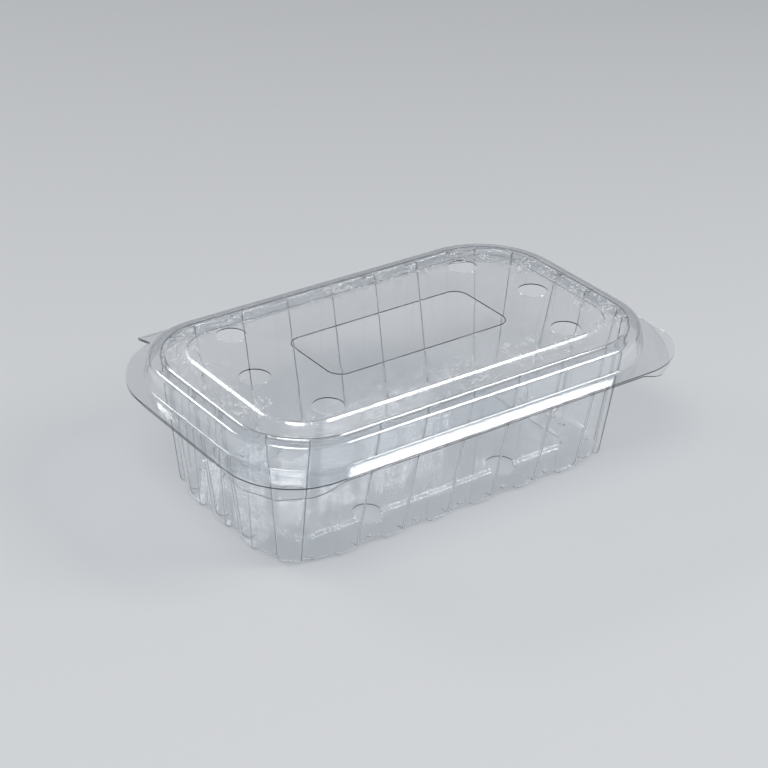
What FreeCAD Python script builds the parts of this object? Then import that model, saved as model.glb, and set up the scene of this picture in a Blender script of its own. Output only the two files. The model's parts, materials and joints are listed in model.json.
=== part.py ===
import FreeCAD, Part
import math
import os

import Sketcher

# A clear clamshell punnet, thermoformed from one thin sheet: a tray with fluted walls and a
# raised, drained floor, and a vented lid that closes over the tray's rim. A fold along one
# long side joins the two. +X runs along the long side, +Y towards the hinge fold and +Z up.
# The origin is on the table, below the middle of the closed pack.

SIZES = [
    ("sheet_gauge", 0.4, "wall of the formed sheet"),
    ("lid_gap", 0.3, "running gap between lid and tray"),
    ("foot_length", 150.0, "tray where its wall meets the ledge of the floor, along X"),
    ("foot_width", 78.0, "the same, along Y"),
    ("foot_corner", 18.0, "plan radius of that line's corners"),
    ("foot_fillet", 2.0, "round between wall and ledge, on the outside"),
    ("wall_lean", 7.2, "draft of the wall, degrees"),
    ("nub_height", 0.8, "feet below the ledge"),
    ("nub_radius", 1.2, "outside radius of a foot at the table"),
    ("nub_taper", 14.0, "draft of a foot, degrees"),
    ("nub_inset", 3.0, "foot centre inside the wall's foot line"),
    ("nub_pitch", 7.0, "between the two feet of a pair"),
    ("nub_swing", 27.0, "turn from a corner's middle to its feet, degrees"),
    ("panel_inset", 13.0, "floor panel's step inside the wall's foot line"),
    ("panel_lift", 1.6, "floor panel above the ledge"),
    ("panel_lean", 30.0, "slope of the panel's step from upright, degrees"),
    ("drain_radius", 5.3, "holes in the floor"),
    ("drain_spread", 61.0, "between the four outer drain holes, along X"),
    ("drain_reach", 49.0, "between the four outer drain holes, along Y"),
    ("drain_ends", 92.0, "between the two end drain holes, along X"),
    ("round_flats", 3, "short flats that make each round of the sheet's section"),
    ("rim_height", 53.4, "top of the tray's rim above the table"),
    ("rim_width", 5.3, "from the wall out to the rim's edge"),
    ("rim_fillet", 1.5, "round on the rim's shoulder, outside"),
    ("skirt_drop", 8.2, "from the rim's top down to the flange"),
    ("skirt_lean", 10.5, "slope of the skirt, degrees"),
    ("flange_width", 6.9, "flange beyond the skirt"),
    ("ear_corner", 26.0, "plan radius of the flange at the two opening ears"),
    ("ear_crease", 1.2, "crease of the tray's ears beyond the skirt"),
    ("ear_droop", 27.0, "downward bend of the tray's ears, degrees"),
    ("flute_depth", 1.6, "flutes proud of the wall"),
    ("flute_foot", 7.6, "width of a flute's face at the floor"),
    ("flute_spread", 3.9, "widening of a flute's side with height, degrees"),
    ("flute_flare", 0.5, "a flute's root wider than its face, each side"),
    ("long_pitch", 20.0, "flutes along the long walls"),
    ("long_count", 6, "flutes on each long wall"),
    ("short_pitch", 17.0, "flutes along the short walls"),
    ("short_count", 3, "flutes on each short wall"),
    ("hinge_length", 144.0, "hinge strip along the back"),
    ("hinge_reach", 2.7, "fold beyond the flange"),
    ("hinge_root", 4.0, "hinge strip's overlap on the flange"),
    ("band_width", 4.2, "flat band along the lid's edge"),
    ("band_step", 0.5, "step from the band up to the lid's ledge"),
    ("ledge_width", 8.3, "lid's ledge from the band to the plateau"),
    ("plateau_step", 1.0, "plateau above the lid's ledge"),
    ("vent_radius", 5.6, "holes in the lid"),
    ("vent_spread", 105.0, "between the four outer vents, along X"),
    ("vent_reach", 60.6, "between the four outer vents, along Y"),
    ("vent_ends", 124.4, "between the two end vents, along X"),
    ("label_length", 79.0, "raised outline on the plateau, along X"),
    ("label_width", 32.4, "the same, along Y"),
    ("label_corner", 6.0, "its corner radius"),
    ("label_bead", 0.9, "width of that raised line"),
    ("label_lift", 0.25, "height of that raised line"),
]

doc = FreeCAD.newDocument("punnet")
sheet = doc.addObject("Spreadsheet::Sheet", "sizes")
for row, (alias, number, meaning) in enumerate(SIZES, start=1):
    sheet.set(f"A{row}", meaning)
    sheet.set(f"B{row}", str(number))
    sheet.setAlias(f"B{row}", alias)
doc.recompute()
ROUND_FLATS = int(sheet.get("round_flats"))

# Formulas in the names of those sizes. Offsets are measured outward from the wall's foot line.
# The merges are how far joined solids overlap, and the margins how far cuts run clear.

GAUGE = "sizes.sheet_gauge"
FOOT_X = "sizes.foot_length / 2"
FOOT_Y = "sizes.foot_width / 2"
CORNER_X = f"({FOOT_X} - sizes.foot_corner)"
CORNER_Y = f"({FOOT_Y} - sizes.foot_corner)"
LEDGE_Z = "sizes.nub_height"
PANEL_Z = f"({LEDGE_Z} + sizes.panel_lift)"
RIM_Z = "sizes.rim_height"
FLANGE_Z = f"({RIM_Z} - sizes.skirt_drop)"
LID_RISE = f"({GAUGE} + sizes.lid_gap)"
WALL_SKIN = f"({GAUGE} / cos(sizes.wall_lean))"
SKIRT_SKIN = f"({GAUGE} / cos(sizes.skirt_lean))"
EAR_MERGE = 0.25
PLATE_MERGE = 1.5
SLOT_MARGIN = 0.6
CUT_MARGIN = 1.0


def wall_at(level):
    """Offset of the wall's outer face at a height."""
    return f"(({level} - {LEDGE_Z}) * tan(sizes.wall_lean))"


RIM_EDGE = f"({wall_at(RIM_Z)} + sizes.rim_width)"


def skirt_at(level):
    """Offset of the tray skirt's outer face at a height."""
    return f"({RIM_EDGE} + ({RIM_Z} - ({level})) * tan(sizes.skirt_lean))"


def lid_skirt_at(level):
    """Offset of the lid skirt's outer face at a height: a gauge and a gap outside the tray's."""
    return f"({skirt_at(level)} + {LID_RISE} / cos(sizes.skirt_lean))"


FLANGE_EDGE = f"({skirt_at(FLANGE_Z)} + sizes.flange_width)"
FLANGE_X = f"({FOOT_X} + {FLANGE_EDGE})"
FLANGE_Y = f"({FOOT_Y} + {FLANGE_EDGE})"
FLANGE_CORNER = f"(sizes.foot_corner + {FLANGE_EDGE})"
FOLD_Y = f"({FLANGE_Y} + sizes.hinge_reach)"
FOLD_Z = f"({FLANGE_Z} + sizes.lid_gap / 2)"
FOLD_RADIUS = f"({GAUGE} + sizes.lid_gap / 2)"
# The pack is centred on its whole depth, fold and front flange included.
CENTRING = f"-(sizes.hinge_reach + {FOLD_RADIUS}) / 2"


def origin_feature(body, role):
    """An origin plane or axis of a body."""
    return next(item for item in body.Origin.OriginFeatures if item.Role == role)


def add_sketch(body, name, loops, plane="XY_Plane", lift=None, base=None, yaw=0.0, roll=None):
    """A sketch of outlines. A loop is a list of corners (x, y, radius): two formulas, and the
    radius of the arc to the next corner, or None for a straight run. A radius that starts
    with a minus turns clockwise. lift, base and roll place the sketch by formulas."""
    sketch = body.newObject("Sketcher::SketchObject", name)
    sketch.AttachmentSupport = [(origin_feature(body, plane), "")]
    sketch.MapMode = "FlatFace"
    sketch.AttachmentOffset = FreeCAD.Placement(FreeCAD.Vector(0, 0, 0), FreeCAD.Rotation(yaw, 0, 0))
    if lift is not None:
        sketch.setExpression("AttachmentOffset.Base.z", lift)
    if base is not None:
        sketch.setExpression("AttachmentOffset.Base.x", base[0])
        sketch.setExpression("AttachmentOffset.Base.y", base[1])
    if roll is not None:
        turn = FreeCAD.Rotation(yaw, 0, float(sketch.evalExpression(roll)))
        sketch.AttachmentOffset = FreeCAD.Placement(FreeCAD.Vector(0, 0, 0), turn)
    for loop in loops:
        if loop[0] == "circle":
            add_circle(sketch, *loop[1:])
        else:
            add_loop(sketch, loop)
    return sketch


def add_circle(sketch, x, y, radius):
    """A circle whose centre and radius are formulas."""
    centre = FreeCAD.Vector(float(sketch.evalExpression(x)), float(sketch.evalExpression(y)), 0)
    size = float(sketch.evalExpression(radius))
    item = sketch.addGeometry(Part.Circle(centre, FreeCAD.Vector(0, 0, 1), size), False)
    bind(sketch, "DistanceX", (-1, 1, item, 3), x)
    bind(sketch, "DistanceY", (-1, 1, item, 3), y)
    bind(sketch, "Radius", (item,), radius)


def bind(sketch, kind, places, formula):
    """A dimension held to a formula."""
    value = float(sketch.evalExpression(formula))
    number = sketch.addConstraint(Sketcher.Constraint(kind, *places, value))
    sketch.setExpression(f"Constraints[{number}]", formula)


def add_loop(sketch, loop):
    """A closed outline of straight runs and arcs, with each corner held in x and y."""
    corners = [FreeCAD.Vector(float(sketch.evalExpression(x)), float(sketch.evalExpression(y)), 0)
               for x, y, _ in loop]
    items = []
    for index, (_, _, radius) in enumerate(loop):
        start = corners[index]
        end = corners[(index + 1) % len(corners)]
        items.append(add_run(sketch, start, end, radius))
    for index, (x, y, _) in enumerate(loop):
        item, first, last = items[index]
        after, after_first, _ = items[(index + 1) % len(items)]
        sketch.addConstraint(Sketcher.Constraint("Coincident", item, last, after, after_first))
        bind(sketch, "DistanceX", (-1, 1, item, first), x)
        bind(sketch, "DistanceY", (-1, 1, item, first), y)
    for (item, _, _), (_, _, radius) in zip(items, loop):
        if radius is not None:
            bind(sketch, "Radius", (item,), radius.lstrip("-"))


def add_run(sketch, start, end, radius):
    """One straight run or arc. Gives its number and which of its ends is the start."""
    if radius is None:
        return sketch.addGeometry(Part.LineSegment(start, end), False), 1, 2
    size = float(sketch.evalExpression(radius.lstrip("-")))
    clockwise = radius.startswith("-")
    chord = end - start
    reach = math.sqrt(max(size ** 2 - (chord.Length / 2) ** 2, 0.0))
    side = FreeCAD.Vector(-chord.y, chord.x, 0).normalize()
    centre = (start + end) / 2 + side * (-reach if clockwise else reach)
    first, last = (end, start) if clockwise else (start, end)
    begin = math.atan2(first.y - centre.y, first.x - centre.x)
    finish = math.atan2(last.y - centre.y, last.x - centre.x)
    circle = Part.Circle(centre, FreeCAD.Vector(0, 0, 1), size)
    item = sketch.addGeometry(Part.ArcOfCircle(circle, begin, finish), False)
    return (item, 2, 1) if clockwise else (item, 1, 2)


def rounded(half_x, half_y, radius):
    """A rounded rectangle about the origin, from the middle of its +X side."""
    x, y, r = half_x, half_y, radius
    return [
        (f"{x}", "0", None),
        (f"{x}", f"{y} - {r}", r), (f"{x} - {r}", f"{y}", None),
        (f"-({x} - {r})", f"{y}", r), (f"-{x}", f"{y} - {r}", None),
        (f"-{x}", f"-({y} - {r})", r), (f"-({x} - {r})", f"-{y}", None),
        (f"{x} - {r}", f"-{y}", r), (f"{x}", f"-({y} - {r})", None),
    ]


def ring(offset):
    """The rounded outline at an offset outside the wall's foot line."""
    return rounded(f"({FOOT_X} + {offset})", f"({FOOT_Y} + {offset})", f"(sizes.foot_corner + {offset})")


def round_off(x, z, radius, lean, way):
    """Corners of the short flats that round the meeting of a level run and a leaning one, met
    at x, z. way is "-" where the level run lies above and "+" where it lies below."""
    centre_x = f"({x} - {radius} * tan((90 - {lean}) / 2))"
    centre_z = f"({z} {way} {radius})"
    other = "-" if way == "+" else "+"
    turns = [f"(90 - {step} / sizes.round_flats * (90 - {lean}))" for step in range(ROUND_FLATS + 1)]
    return [(f"{centre_x} + {radius} * cos({turn})", f"{centre_z} {other} {radius} * sin({turn})")
            for turn in turns]


def shoulder(x, z, radius, lean):
    """The round between a level run from inside and a skirt that falls away."""
    return round_off(x, z, radius, lean, "-")


def heel(x, z, radius, lean):
    """The round between a level run from inside and a wall that rises."""
    return round_off(x, z, radius, lean, "+")


def feature(body, kind, name, sketch, **settings):
    """A feature of a body from a profile sketch. Text settings are formulas."""
    item = body.newObject(f"PartDesign::{kind}", name)
    item.Profile = sketch
    for key, setting in settings.items():
        if isinstance(setting, str) and key in ("Length", "Length2"):
            item.setExpression(key, setting)
        else:
            setattr(item, key, setting)
    return item


def sweep(body, name, section):
    """The closed section carried round the wall's foot line."""
    spine = add_sketch(body, f"{name}_path", [ring("0")])
    profile = add_sketch(body, f"{name}_section", [section], plane="XZ_Plane")
    pipe = body.newObject("PartDesign::AdditivePipe", name)
    pipe.Profile = profile
    pipe.Spine = (spine, [])
    pipe.Mode = "Standard"
    pipe.Transition = "Transformed"
    return pipe


def repeat(body, name, originals, steps):
    """Copies of features by a chain of row and mirror steps."""
    multi = body.newObject("PartDesign::MultiTransform", name)
    multi.Originals = originals
    multi.Refine = False
    chain = []
    for number, step in enumerate(steps):
        if step[0] == "row":
            item = body.newObject("PartDesign::LinearPattern", f"{name}_row{number}")
            item.Direction = (origin_feature(body, step[1]), [""])
            item.setExpression("Length", step[2])
            item.setExpression("Occurrences", step[3])
        else:
            item = body.newObject("PartDesign::Mirrored", f"{name}_mirror{number}")
            item.MirrorPlane = (origin_feature(body, step[1]), [""])
        chain.append(item)
    multi.Transformations = chain
    body.Tip = multi
    return multi


def section_at(one_face, other_face):
    """A sheet's section, from the offset and height of the corners of its two faces, both
    listed outward. It is placed on the +X side."""
    return [(f"{FOOT_X} + {offset}", height, None) for offset, height in one_face + other_face[::-1]]


def tray_section():
    """The tray's sheet from the floor panel's edge out to the skirt's foot, flange left out."""
    step = f"({PANEL_Z} - {LEDGE_Z}) * tan(sizes.panel_lean)"
    step_skin = f"{GAUGE} / cos(sizes.panel_lean) - {GAUGE} * tan(sizes.panel_lean)"
    start = f"-(sizes.panel_inset + {step} + 2 * {PLATE_MERGE})"
    skirt_foot = f"({FLANGE_Z} - {GAUGE})"
    below_rim = f"({RIM_Z} - {GAUGE})"
    outside = [(start, PANEL_Z), (f"-(sizes.panel_inset + {step})", PANEL_Z), ("-sizes.panel_inset", LEDGE_Z)]
    outside += heel("0", LEDGE_Z, "sizes.foot_fillet", "sizes.wall_lean")
    outside += [(wall_at(below_rim), below_rim)]
    outside += shoulder(f"({skirt_at(below_rim)} - {SKIRT_SKIN})", below_rim,
                        f"(sizes.rim_fillet - {GAUGE})", "sizes.skirt_lean")
    outside += [(f"{skirt_at(skirt_foot)} - {SKIRT_SKIN}", skirt_foot)]
    ledge_top = f"({LEDGE_Z} + {GAUGE})"
    inside = [(start, f"{PANEL_Z} + {GAUGE}"),
              (f"-(sizes.panel_inset + {step}) + {step_skin}", f"{PANEL_Z} + {GAUGE}"),
              (f"-sizes.panel_inset + {step_skin}", ledge_top)]
    inside += heel(f"({wall_at(ledge_top)} - {WALL_SKIN})", ledge_top,
                   f"(sizes.foot_fillet - {GAUGE})", "sizes.wall_lean")
    inside += [(f"{wall_at(RIM_Z)} - {WALL_SKIN}", RIM_Z)]
    inside += shoulder(RIM_EDGE, RIM_Z, "sizes.rim_fillet", "sizes.skirt_lean")
    inside += [(skirt_at(skirt_foot), skirt_foot)]
    return section_at(outside, inside)


LID_TOP = f"({RIM_Z} + {LID_RISE})"
LID_FLANGE = f"({FLANGE_Z} + {LID_RISE})"
LID_LEDGE = f"({LID_TOP} + sizes.band_step)"
PLATEAU_Z = f"({LID_LEDGE} + sizes.plateau_step)"
BAND_EDGE = f"({lid_skirt_at(LID_TOP)} - sizes.band_width)"
LEDGE_EDGE = f"({BAND_EDGE} - sizes.band_step)"
PLATEAU_FOOT = f"({LEDGE_EDGE} - sizes.ledge_width)"
PLATEAU_EDGE = f"({PLATEAU_FOOT} - sizes.plateau_step)"


def lid_section():
    """The lid's sheet from the plateau's edge out to the skirt's foot, flange left out. Its
    two steps fall at 45 degrees."""
    start = f"({PLATEAU_EDGE} - 2 * {PLATE_MERGE})"
    skirt_foot = f"({LID_FLANGE} - {GAUGE})"
    tuck = f"{GAUGE} * tan(22.5)"
    top = [(start, PLATEAU_Z), (PLATEAU_EDGE, PLATEAU_Z), (PLATEAU_FOOT, LID_LEDGE),
           (LEDGE_EDGE, LID_LEDGE), (BAND_EDGE, LID_TOP)]
    below = [(start, f"{PLATEAU_Z} - {GAUGE}")]
    below += [(f"{x} - {tuck}", f"{z} - {GAUGE}") for x, z in top[1:]]
    top += shoulder(lid_skirt_at(LID_TOP), LID_TOP, f"(sizes.rim_fillet + {LID_RISE})", "sizes.skirt_lean")
    top += [(lid_skirt_at(skirt_foot), skirt_foot)]
    under_top = f"({LID_TOP} - {GAUGE})"
    below += shoulder(f"({lid_skirt_at(under_top)} - {SKIRT_SKIN})", under_top,
                      "(sizes.rim_fillet + sizes.lid_gap)", "sizes.skirt_lean")
    below += [(f"{lid_skirt_at(skirt_foot)} - {SKIRT_SKIN}", skirt_foot)]
    return section_at(below, top)


# Opening ears, one at each front corner of the flange. EAR_CENTRE is the distance of the
# ear's arc centre from the origin along the corner's diagonal, EAR_LINE that of the crease.

EAR_CENTRE = f"(({FLANGE_X} - sizes.ear_corner) + ({FLANGE_Y} - sizes.ear_corner)) * cos(45)"
EAR_LINE = (f"(({CORNER_X} + {CORNER_Y}) * cos(45) + sizes.foot_corner"
            f" + {skirt_at(FLANGE_Z)} + sizes.ear_crease)")
EAR_SHOULDER = f"({EAR_CENTRE} + sizes.ear_corner * cos(45) - {EAR_LINE})"


def flange_outline(creased):
    """The flange's outer line: concentric corners at the back, and at the front either full
    ears or a straight crease where the ears bend down."""
    x, y, r = FLANGE_X, FLANGE_Y, FLANGE_CORNER
    back = [(f"{x}", f"{y} - {r}", r), (f"{x} - {r}", f"{y}", None),
            (f"-({x} - {r})", f"{y}", r), (f"-{x}", f"{y} - {r}", None)]
    if creased:
        reach = f"{EAR_LINE} / cos(45)"
        return back + [(f"-{x}", f"-({reach} - {x})", None), (f"-({reach} - {y})", f"-{y}", None),
                       (f"{reach} - {y}", f"-{y}", None), (f"{x}", f"-({reach} - {x})", None)]
    e = "sizes.ear_corner"
    return back + [(f"-{x}", f"-({y} - {e})", e), (f"-({x} - {e})", f"-{y}", None),
                   (f"{x} - {e}", f"-{y}", e), (f"{x}", f"-({y} - {e})", None)]


def add_flange(body, name, top, skirt_inside, creased):
    """The flat flange with the skirt's opening in it."""
    outline = add_sketch(body, f"{name}_outline", [flange_outline(creased), ring(skirt_inside)], lift=top)
    return feature(body, "Pad", name, outline, Length=GAUGE, Reversed=True)


def add_ears(body, name):
    """The tray's two ears, bent down about the crease."""
    shift = f"({EAR_LINE} - {EAR_CENTRE}) * cos(45)"
    base = (f"{FLANGE_X} - sizes.ear_corner + {shift}", f"-({FLANGE_Y} - sizes.ear_corner + {shift})")
    side = "(sizes.ear_corner * cos(45))"
    outline = [
        (f"{side} + {EAR_SHOULDER}", f"-{EAR_MERGE}", None),
        (f"{side} + {EAR_SHOULDER}", "0", None),
        (side, EAR_SHOULDER, "sizes.ear_corner"),
        (f"-{side}", EAR_SHOULDER, None),
        (f"-({side} + {EAR_SHOULDER})", "0", None),
        (f"-({side} + {EAR_SHOULDER})", f"-{EAR_MERGE}", None),
    ]
    sketch = add_sketch(body, f"{name}_outline", [outline], lift=FLANGE_Z, base=base, yaw=-135.0,
                        roll="-sizes.ear_droop")
    ear = feature(body, "Pad", name, sketch, Length=GAUGE, Reversed=True)
    return repeat(body, f"{name}_pair", [ear], [("mirror", "YZ_Plane")])


def flute_outline(level, skin, root):
    """Plan of a flute on a wall that faces -Y, at a height: a face and two flared sides."""
    half = f"(sizes.flute_foot / 2 + ({level} - {LEDGE_Z}) * tan(sizes.flute_spread) - {skin})"
    face = f"({FOOT_Y} + {wall_at(level)} + sizes.flute_depth - {skin})"
    back = f"({FOOT_Y} + {wall_at(level)} - {root})"
    wide = f"({half} + sizes.flute_flare)"
    return half, wide, face, back


def add_flutes(body, name, side, hollow):
    """One row of flutes and its mirror: solid prisms, or the hollows that are cut in them."""
    skin = WALL_SKIN if hollow else "0"
    root = f"({WALL_SKIN} + {SLOT_MARGIN})" if hollow else f"{WALL_SKIN} / 2"
    low = f"({LEDGE_Z} + {GAUGE})" if hollow else LEDGE_Z
    high = f"({RIM_Z} + {CUT_MARGIN})" if hollow else f"({RIM_Z} - {GAUGE} / 2)"
    sketches = []
    for end, level in (("low", low), ("high", high)):
        half, wide, face, back = flute_outline(level, skin, root)
        turn = 0.0
        if side == "long":
            centre = ("-(sizes.long_count - 1) / 2 * sizes.long_pitch", "0")
            outline = [(f"-{wide}", f"-{back}", None), (f"-{half}", f"-{face}", None),
                       (half, f"-{face}", None), (wide, f"-{back}", None)]
        elif side == "short":
            shift = f"({FOOT_Y} - {FOOT_X})"
            centre = ("0", "-(sizes.short_count - 1) / 2 * sizes.short_pitch")
            turn = 90.0
            outline = [(f"-{wide}", f"-({back} - {shift})", None), (f"-{half}", f"-({face} - {shift})", None),
                       (half, f"-({face} - {shift})", None), (wide, f"-({back} - {shift})", None)]
        else:
            centre = (CORNER_X, f"-{CORNER_Y}")
            turn = 45.0
            inner = f"({back} - {CORNER_Y})"
            outer = f"({face} - {CORNER_Y})"
            outline = [
                (f"-{half}", f"-sqrt({inner} ^ 2 - {half} ^ 2)", None),
                (f"-{half}", f"-sqrt({outer} ^ 2 - {half} ^ 2)", outer),
                (half, f"-sqrt({outer} ^ 2 - {half} ^ 2)", None),
                (half, f"-sqrt({inner} ^ 2 - {half} ^ 2)", f"-{inner}"),
            ]
        sketches.append(add_sketch(body, f"{name}_{end}", [outline], lift=level, base=centre, yaw=turn))
    kind = "SubtractiveLoft" if hollow else "AdditiveLoft"
    loft = feature(body, kind, name, sketches[0], Sections=[(sketches[1], [""])], Ruled=True, Refine=False)
    steps = {
        "long": [("row", "X_Axis", "(sizes.long_count - 1) * sizes.long_pitch", "sizes.long_count"),
                 ("mirror", "XZ_Plane")],
        "short": [("row", "Y_Axis", "(sizes.short_count - 1) * sizes.short_pitch", "sizes.short_count"),
                  ("mirror", "YZ_Plane")],
        "corner": [("mirror", "YZ_Plane"), ("mirror", "XZ_Plane")],
    }
    return repeat(body, f"{name}_rows", [loft], steps[side])


def octagon(radius):
    """An eight-sided outline about the sketch's origin, whose flats are at the radius."""
    turns = [f"({number} * 45 + 22.5)" for number in range(8)]
    size = f"{radius} / cos(22.5)"
    return [(f"{size} * cos({turn})", f"{size} * sin({turn})", None) for turn in turns]


def add_feet(body, hollow):
    """Tapered pins, or the dimples in them: a pair between each two flutes of a wall, and two
    round each corner."""
    skin = GAUGE if hollow else "0"
    top = f"{LEDGE_Z} + {GAUGE} + {CUT_MARGIN}" if hollow else f"{LEDGE_Z} + {GAUGE} / 2"
    length = f"{LEDGE_Z} + {CUT_MARGIN}" if hollow else top
    outline = octagon(f"(sizes.nub_radius - {skin} + ({top}) * tan(sizes.nub_taper))")
    reach = "(sizes.foot_corner - sizes.nub_inset)"
    starts = {
        "long": ("-((sizes.long_count - 2) * sizes.long_pitch + sizes.nub_pitch) / 2",
                 f"-({FOOT_Y} - sizes.nub_inset)"),
        "short": (f"-({FOOT_X} - sizes.nub_inset)",
                  f"-((sizes.short_count - 2) * sizes.short_pitch + sizes.nub_pitch) / 2"),
        "low": (f"{CORNER_X} + {reach} * cos(45 - sizes.nub_swing)",
                f"{CORNER_Y} + {reach} * sin(45 - sizes.nub_swing)"),
        "high": (f"{CORNER_X} + {reach} * cos(45 + sizes.nub_swing)",
                 f"{CORNER_Y} + {reach} * sin(45 + sizes.nub_swing)"),
    }
    rows = {
        "long": [("row", "X_Axis", "sizes.nub_pitch", "2"),
                 ("row", "X_Axis", "(sizes.long_count - 2) * sizes.long_pitch", "sizes.long_count - 1"),
                 ("mirror", "XZ_Plane")],
        "short": [("row", "Y_Axis", "sizes.nub_pitch", "2"),
                  ("row", "Y_Axis", "(sizes.short_count - 2) * sizes.short_pitch", "sizes.short_count - 1"),
                  ("mirror", "YZ_Plane")],
        "low": [("mirror", "YZ_Plane"), ("mirror", "XZ_Plane")],
        "high": [("mirror", "YZ_Plane"), ("mirror", "XZ_Plane")],
    }
    for side, place in starts.items():
        sketch = add_sketch(body, f"{side}_foot_outline", [outline], lift=top, base=place)
        foot = feature(body, "Pad", f"{side}_foot", sketch, Length=length, Reversed=True)
        foot.setExpression("TaperAngle", "-sizes.nub_taper")
        repeat(body, f"{side}_feet", [foot], rows[side])


def six_holes(ends, spread, reach, radius):
    """Four holes at the corners of a rectangle and one beyond it at each end."""
    holes = []
    for way in ("", "-"):
        holes.append(("circle", f"{way}{ends} / 2", "0", radius))
        for other in ("", "-"):
            holes.append(("circle", f"{way}{spread} / 2", f"{other}{reach} / 2", radius))
    return holes


def plate(body, name, offset, top):
    """The flat middle that the swept sheet runs into."""
    outline = add_sketch(body, f"{name}_outline", [ring(offset)], lift=top)
    return feature(body, "Pad", name, outline, Length=GAUGE, Reversed=True)


def add_body(name):
    """A body, moved so that the closed pack is centred on the origin."""
    body = doc.addObject("PartDesign::Body", name)
    body.Label = name
    body.AllowCompound = True
    body.setExpression("Placement.Base.y", CENTRING)
    return body


def tray_shell():
    """Floor, fluted walls, rim, flange with bent ears, and the hinge's lower leaf and fold."""
    body = add_body("tray_shell")
    sweep(body, "tray_sheet", tray_section())
    step = f"({PANEL_Z} - {LEDGE_Z}) * tan(sizes.panel_lean)"
    plate(body, "floor_panel", f"(-(sizes.panel_inset + {step} + {PLATE_MERGE}))", f"{PANEL_Z} + {GAUGE}")
    inside = f"({skirt_at(f'({FLANGE_Z} - {GAUGE})')} - {SKIRT_SKIN})"
    add_flange(body, "tray_flange", FLANGE_Z, inside, True)
    add_ears(body, "ear")
    drains = six_holes("sizes.drain_ends", "sizes.drain_spread", "sizes.drain_reach", "sizes.drain_radius")
    cut = add_sketch(body, "drain_outlines", drains, lift=f"{PANEL_Z} + {GAUGE} + {CUT_MARGIN}")
    feature(body, "Pocket", "drains", cut, Length=f"{PANEL_Z} + {GAUGE} + {CUT_MARGIN}")
    add_leaf(body, "tray_leaf", FLANGE_Z, FOLD_Y)
    bead = add_sketch(body, "fold_section", [("circle", FOLD_Y, FOLD_Z, FOLD_RADIUS)], plane="YZ_Plane")
    feature(body, "Pad", "fold", bead, Length="sizes.hinge_length", Midplane=True)
    for side in ("long", "short", "corner"):
        add_flutes(body, f"{side}_flute", side, False)
    for side in ("long", "short", "corner"):
        add_flutes(body, f"{side}_hollow", side, True)
    return body


def foot_body(name, hollow):
    """The feet's pins, or the dimples in them, as a body of their own."""
    body = add_body(name)
    add_feet(body, hollow)
    return body


def make_tray():
    """The shell with its feet joined on, less the dimples that make them hollow."""
    joined = doc.addObject("Part::Fuse", "tray_on_feet")
    joined.Base = tray_shell()
    joined.Tool = foot_body("feet", False)
    tray = doc.addObject("Part::Cut", "tray")
    tray.Label = "tray"
    tray.Base = joined
    tray.Tool = foot_body("dimples", True)
    return tray


def add_leaf(body, name, top, end):
    """A strip of the hinge, from the flange back to the fold, cut square at its ends."""
    half = "sizes.hinge_length / 2"
    root = f"{FLANGE_Y} - sizes.hinge_root"
    outline = [(half, root, None), (half, end, None), (f"-{half}", end, None), (f"-{half}", root, None)]
    strip = add_sketch(body, f"{name}_outline", [outline], lift=top)
    return feature(body, "Pad", name, strip, Length=GAUGE, Reversed=True)


def make_lid():
    """Plateau with vents and a raised outline, ledge, skirt, flange with ears, upper leaf."""
    body = add_body("lid")
    sweep(body, "lid_sheet", lid_section())
    plate(body, "plateau", f"({PLATEAU_EDGE} - {PLATE_MERGE})", PLATEAU_Z)
    inside = f"({lid_skirt_at(f'({LID_FLANGE} - {GAUGE})')} - {SKIRT_SKIN})"
    add_flange(body, "lid_flange", LID_FLANGE, inside, False)
    add_leaf(body, "lid_leaf", LID_FLANGE, f"({FOLD_Y} - {FOLD_RADIUS} - sizes.lid_gap)")
    label = [rounded("(sizes.label_length / 2)", "(sizes.label_width / 2)", "sizes.label_corner"),
             rounded("(sizes.label_length / 2 - sizes.label_bead)", "(sizes.label_width / 2 - sizes.label_bead)",
                     "(sizes.label_corner - sizes.label_bead)")]
    line = add_sketch(body, "label_outline", label, lift=f"{PLATEAU_Z} - {GAUGE} / 2")
    feature(body, "Pad", "label_line", line, Length=f"sizes.label_lift + {GAUGE} / 2")
    vents = six_holes("sizes.vent_ends", "sizes.vent_spread", "sizes.vent_reach", "sizes.vent_radius")
    cut = add_sketch(body, "vent_outlines", vents, lift=f"{PLATEAU_Z} + {CUT_MARGIN}")
    feature(body, "Pocket", "vents", cut, Length=f"{GAUGE} + 2 * {CUT_MARGIN}")
    return body


def check(parts):
    """Stops unless every object is sound and every sub-part is one valid solid."""
    for item in doc.Objects:
        if "Invalid" in item.State or "Error" in item.State:
            raise RuntimeError(f"{item.Name} failed: {item.State}")
    for body in parts:
        shape = body.Shape
        if shape.isNull() or not shape.isValid() or len(shape.Solids) != 1:
            raise RuntimeError(f"{body.Label} isn't one valid solid")
        box = shape.BoundBox
        print(f"{body.Label}: {shape.Volume:.0f} mm3, {len(shape.Faces)} faces, "
              f"x {box.XMin:.2f} {box.XMax:.2f}, y {box.YMin:.2f} {box.YMax:.2f}, z {box.ZMin:.2f} {box.ZMax:.2f}")


parts = [make_tray(), make_lid()]
doc.recompute()
check(parts)
os.makedirs("parts", exist_ok=True)
for body in parts:
    body.Shape.exportStep(f"parts/{body.Label}.step")
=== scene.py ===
import json
import math

import bmesh
import bpy
import numpy as np
from bpy.props import FloatProperty, FloatVectorProperty, IntProperty, PointerProperty
from mathutils import Matrix, Vector, geometry


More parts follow.
